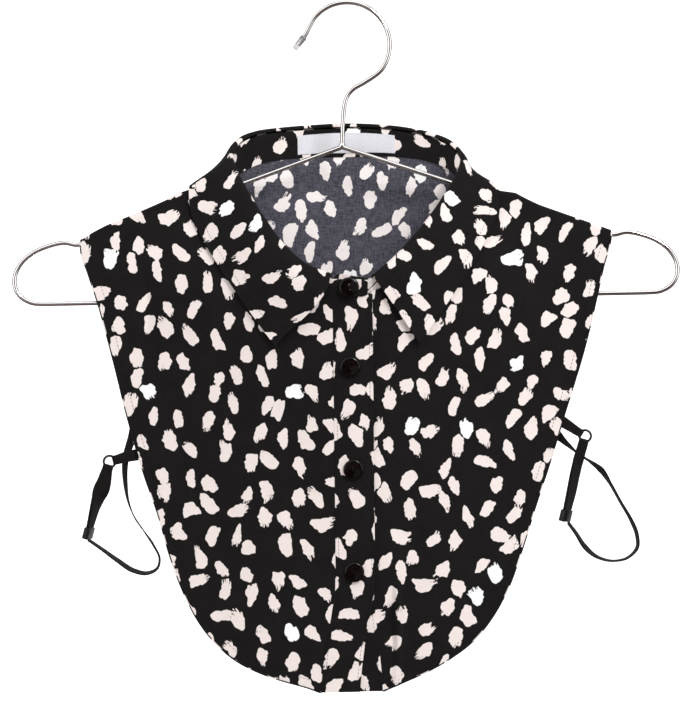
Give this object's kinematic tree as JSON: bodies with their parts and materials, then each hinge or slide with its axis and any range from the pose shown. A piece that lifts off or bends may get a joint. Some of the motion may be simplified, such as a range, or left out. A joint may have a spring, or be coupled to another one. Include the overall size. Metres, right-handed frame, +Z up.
{
  "type": "detachable shirt collar on a wire hanger",
  "caption": "Detachable shirt collar with a short button front, a matching back panel and elastic side straps, hanging flat on a wire hanger with a round hook.",
  "frame": {"origin": "the inside of the hook, where a rail carries it, on the underside of the top of the bow", "axes": "+Z up, the collar's front faces -Y, the wire lies in the plane y = 0, and the wearer's right is at -X"},
  "size_m": [0.4024, 0.0759, 0.4154],
  "materials": {
    "printed_cloth": "matt near-black cloth with a blush brush-dab print",
    "label_cloth": "plain satin-woven label",
    "button_black": "glossy black",
    "elastic_black": "ribbed black elastic",
    "ring_black": "black coated",
    "slider_black": "black moulded",
    "chrome_wire": "bright plated wire",
    "clear_cap": "clear soft vinyl"
  },
  "bodies": {
    "root": {"front_right": "printed_cloth", "front_left": "printed_cloth", "back_panel": "printed_cloth", "placket_top": "printed_cloth", "placket_under": "printed_cloth", "collar_stand": "printed_cloth", "collar_fall": "printed_cloth", "label": "label_cloth", "button_neck": "button_black", "button_1": "button_black", "button_2": "button_black", "button_3": "button_black", "tab_right": "elastic_black", "strap_right": "elastic_black", "elastic_right": "elastic_black", "tab_left": "elastic_black", "strap_left": "elastic_black", "elastic_left": "elastic_black", "ring_right": "ring_black", "ring_left": "ring_black", "slider_right": "slider_black", "slider_left": "slider_black", "hanger_arm_right": "chrome_wire", "hanger_arm_left": "chrome_wire", "hanger_bar": "chrome_wire", "hanger_hook": "chrome_wire", "hook_tip": "clear_cap"}
  },
  "joints": []
}
